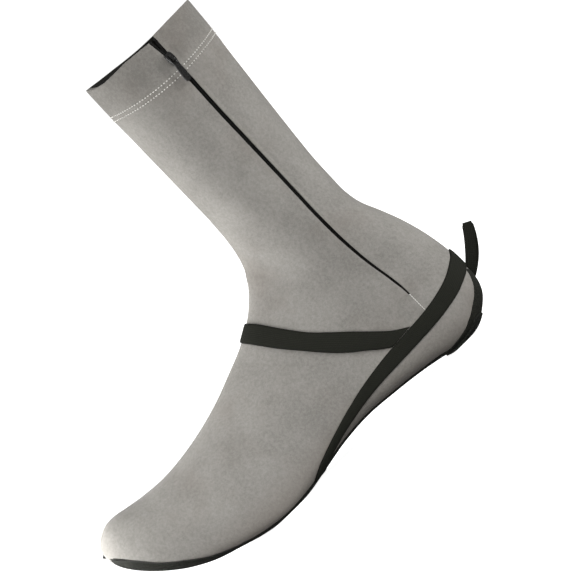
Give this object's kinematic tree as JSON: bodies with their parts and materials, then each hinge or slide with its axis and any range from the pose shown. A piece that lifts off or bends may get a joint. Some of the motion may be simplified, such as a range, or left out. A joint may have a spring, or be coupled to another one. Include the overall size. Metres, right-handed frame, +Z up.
{
  "type": "cycling overshoe",
  "caption": "Tall stretch-fabric overshoe with a tough sole, a cleat hole, elastic straps over instep and heel, a side zip and a heel loop.",
  "frame": {"origin": "middle of the flat spot that the heel stands on, on the floor", "axes": "+X from the toe back to the heel, +Z up, the inner side of the foot with the zip faces -Y"},
  "size_m": [0.3144, 0.1036, 0.279],
  "materials": {
    "stretch_fabric": "matt, fine grain",
    "sole_cloth": "matt, finely speckled",
    "elastic": "matt, woven rib",
    "zip_cloth": "matt",
    "zip_nylon": "satin",
    "zip_metal": "satin black"
  },
  "bodies": {
    "overshoe": {"upper": "stretch_fabric", "outsole": "sole_cloth", "heel_patch": "sole_cloth", "heel_strap": "elastic", "instep_strap": "elastic", "pull_loop": "elastic", "zip_tape": "zip_cloth", "zip_chain": "zip_nylon", "zip_teeth_rear": "zip_nylon", "zip_teeth_front": "zip_nylon", "zip_slider": "zip_metal"},
    "pull_tab": {"zip_pull": "zip_metal"}
  },
  "joints": [
    {"name": "pull_swing", "type": "hinge", "parent": "overshoe", "child": "pull_tab", "pos_m": [-0.00829, -0.03847, 0.25756], "axis": [0.9767, 0.2009, -0.0761], "range_deg": [-170, 0]}
  ]
}
